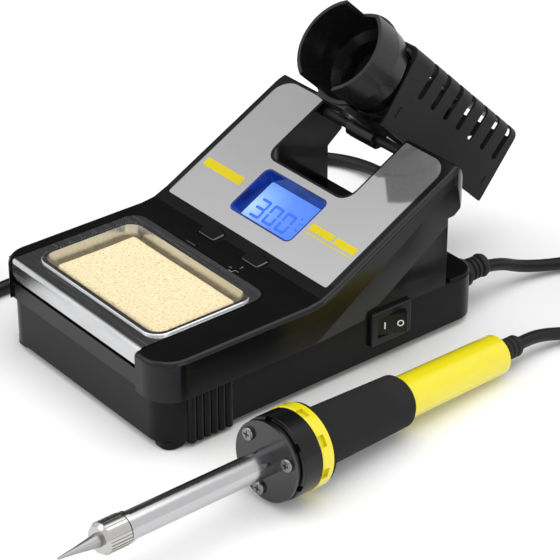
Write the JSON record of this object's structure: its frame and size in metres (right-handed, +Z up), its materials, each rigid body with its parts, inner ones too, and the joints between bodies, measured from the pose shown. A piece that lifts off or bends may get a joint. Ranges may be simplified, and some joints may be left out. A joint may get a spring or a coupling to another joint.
{
  "type": "soldering iron station",
  "caption": "Temperature-controlled soldering station with display, sponge tray, tilting slotted iron holder, pencil iron on a lead, mains switch and corded plug.",
  "frame": {"origin": "centre of the underside of the box round the station and its iron, cords and plug left out, on the floor plane", "axes": "+X to the switch side, +Y to the rear where the cords leave, +Z up"},
  "size_m": [0.3615, 0.3579, 0.1277],
  "materials": {
    "black_gloss": "gloss black moulding",
    "black_satin": "satin black moulding",
    "rubber_black": "soft black rubber",
    "zinc_steel": "zinc-plated screws",
    "silver_gloss": "glossy silver-grey panel with printed yellow bars",
    "blue_lightguide": "translucent blue light guide",
    "lcd_blue": "backlit display glass",
    "backlight_blue": "diffusing backlight",
    "board_green": "circuit board",
    "stainless": "pressed stainless sheet",
    "sponge_yellow": "dry cellulose sponge",
    "brass": "tinned brass tabs",
    "black_steel": "matt black coated sheet steel",
    "tip_plating": "plated copper tip",
    "stainless_bright": "polished stainless",
    "ceramic_white": "ceramic heater",
    "nickel_knurled": "knurled nickel",
    "yellow_gloss": "gloss yellow moulding",
    "grip_foam": "matt foam sleeve",
    "cord_black": "black PVC sheath",
    "aluminium": "extruded heat sink",
    "capacitor_yellow": "film capacitor case",
    "fuse_glass": "glass fuse",
    "terminal_grey": "screw terminal block",
    "ribbon_grey": "flat cable",
    "tie_black": "twist tie",
    "plug_black": "moulded plug",
    "nickel_pins": "nickel-plated pins"
  },
  "bodies": {
    "root": {"upper_housing": "black_gloss", "lower_housing": "black_satin", "rubber_feet": "rubber_black", "housing_screws": "zinc_steel", "front_panel": "silver_gloss", "display_frame": "blue_lightguide", "lcd_glass": "lcd_blue", "lcd_backlight": "backlight_blue", "display_board": "board_green", "key_board": "board_green", "tact_switches": "black_satin", "switch_body": "black_satin", "switch_terminals": "brass", "holder_crossbar": "black_steel", "main_board": "board_green", "board_screws": "zinc_steel", "heat_sink": "aluminium", "triac": "black_satin", "filter_capacitor": "capacitor_yellow", "fuse": "fuse_glass", "terminal_block": "terminal_grey", "ribbon_cable": "ribbon_grey", "lead_gland": "rubber_black", "mains_gland": "rubber_black", "cord_clamps": "black_satin", "lead_out": "cord_black", "lead_in": "cord_black", "lead_coil": "cord_black", "lead_tie": "tie_black", "mains_cord": "cord_black", "mains_tail": "cord_black", "mains_coil": "cord_black", "mains_tie": "tie_black", "mains_plug": "plug_black", "plug_pins": "nickel_pins"},
    "holder": {"holder_funnel": "black_satin", "holder_cage": "black_steel", "holder_front_plate": "black_steel", "holder_rear_plate": "black_steel", "holder_base": "black_satin", "holder_screws": "zinc_steel"},
    "tray": {"sponge_tray": "stainless"},
    "sponge": {"cleaning_sponge": "sponge_yellow"},
    "minus_key": {"minus_key": "black_gloss"},
    "plus_key": {"plus_key": "black_gloss"},
    "rocker": {"switch_rocker": "black_satin"},
    "iron": {"soldering_tip": "tip_plating", "heater_barrel": "stainless_bright", "heating_element": "ceramic_white", "guard_disc": "stainless_bright", "guard_screws": "zinc_steel", "guard_ring": "black_gloss", "handle": "yellow_gloss", "grip_sleeve": "grip_foam", "iron_strain_relief": "rubber_black", "iron_lead_stub": "cord_black"},
    "tip_nut": {"tip_nut": "nickel_knurled"}
  },
  "joints": [
    {"name": "holder_tilt", "type": "hinge", "parent": "root", "child": "holder", "pos_m": [-0.03044, 0.07959, 0.0704], "axis": [1, 0, 0], "range_deg": [-20, 20]},
    {"name": "tray_lift", "type": "slide", "parent": "root", "child": "tray", "axis": [0, 0, 1], "range_m": [0, 0.03]},
    {"name": "sponge_lift", "type": "slide", "parent": "tray", "child": "sponge", "axis": [0, 0, 1], "range_m": [0, 0.02]},
    {"name": "minus_key_press", "type": "slide", "parent": "root", "child": "minus_key", "axis": [0, 0.225, -0.9744], "range_m": [0, 0.0011], "stiffness_N_per_m": 300},
    {"name": "plus_key_press", "type": "slide", "parent": "root", "child": "plus_key", "axis": [0, 0.225, -0.9744], "range_m": [0, 0.0011], "stiffness_N_per_m": 300},
    {"name": "switch_rock", "type": "hinge", "parent": "root", "child": "rocker", "pos_m": [0.02356, 0.04649, 0.0171], "axis": [0, 0, 1], "range_deg": [0, 20]},
    {"name": "iron_lift", "type": "slide", "parent": "root", "child": "iron", "axis": [0, 0, 1], "range_m": [0, 0.03]},
    {"name": "tip_nut_turn", "type": "hinge", "parent": "iron", "child": "tip_nut", "pos_m": [0.07697, -0.12863, 0.02374], "axis": [-0.0861, 0.9936, -0.0738], "continuous": true}
  ]
}
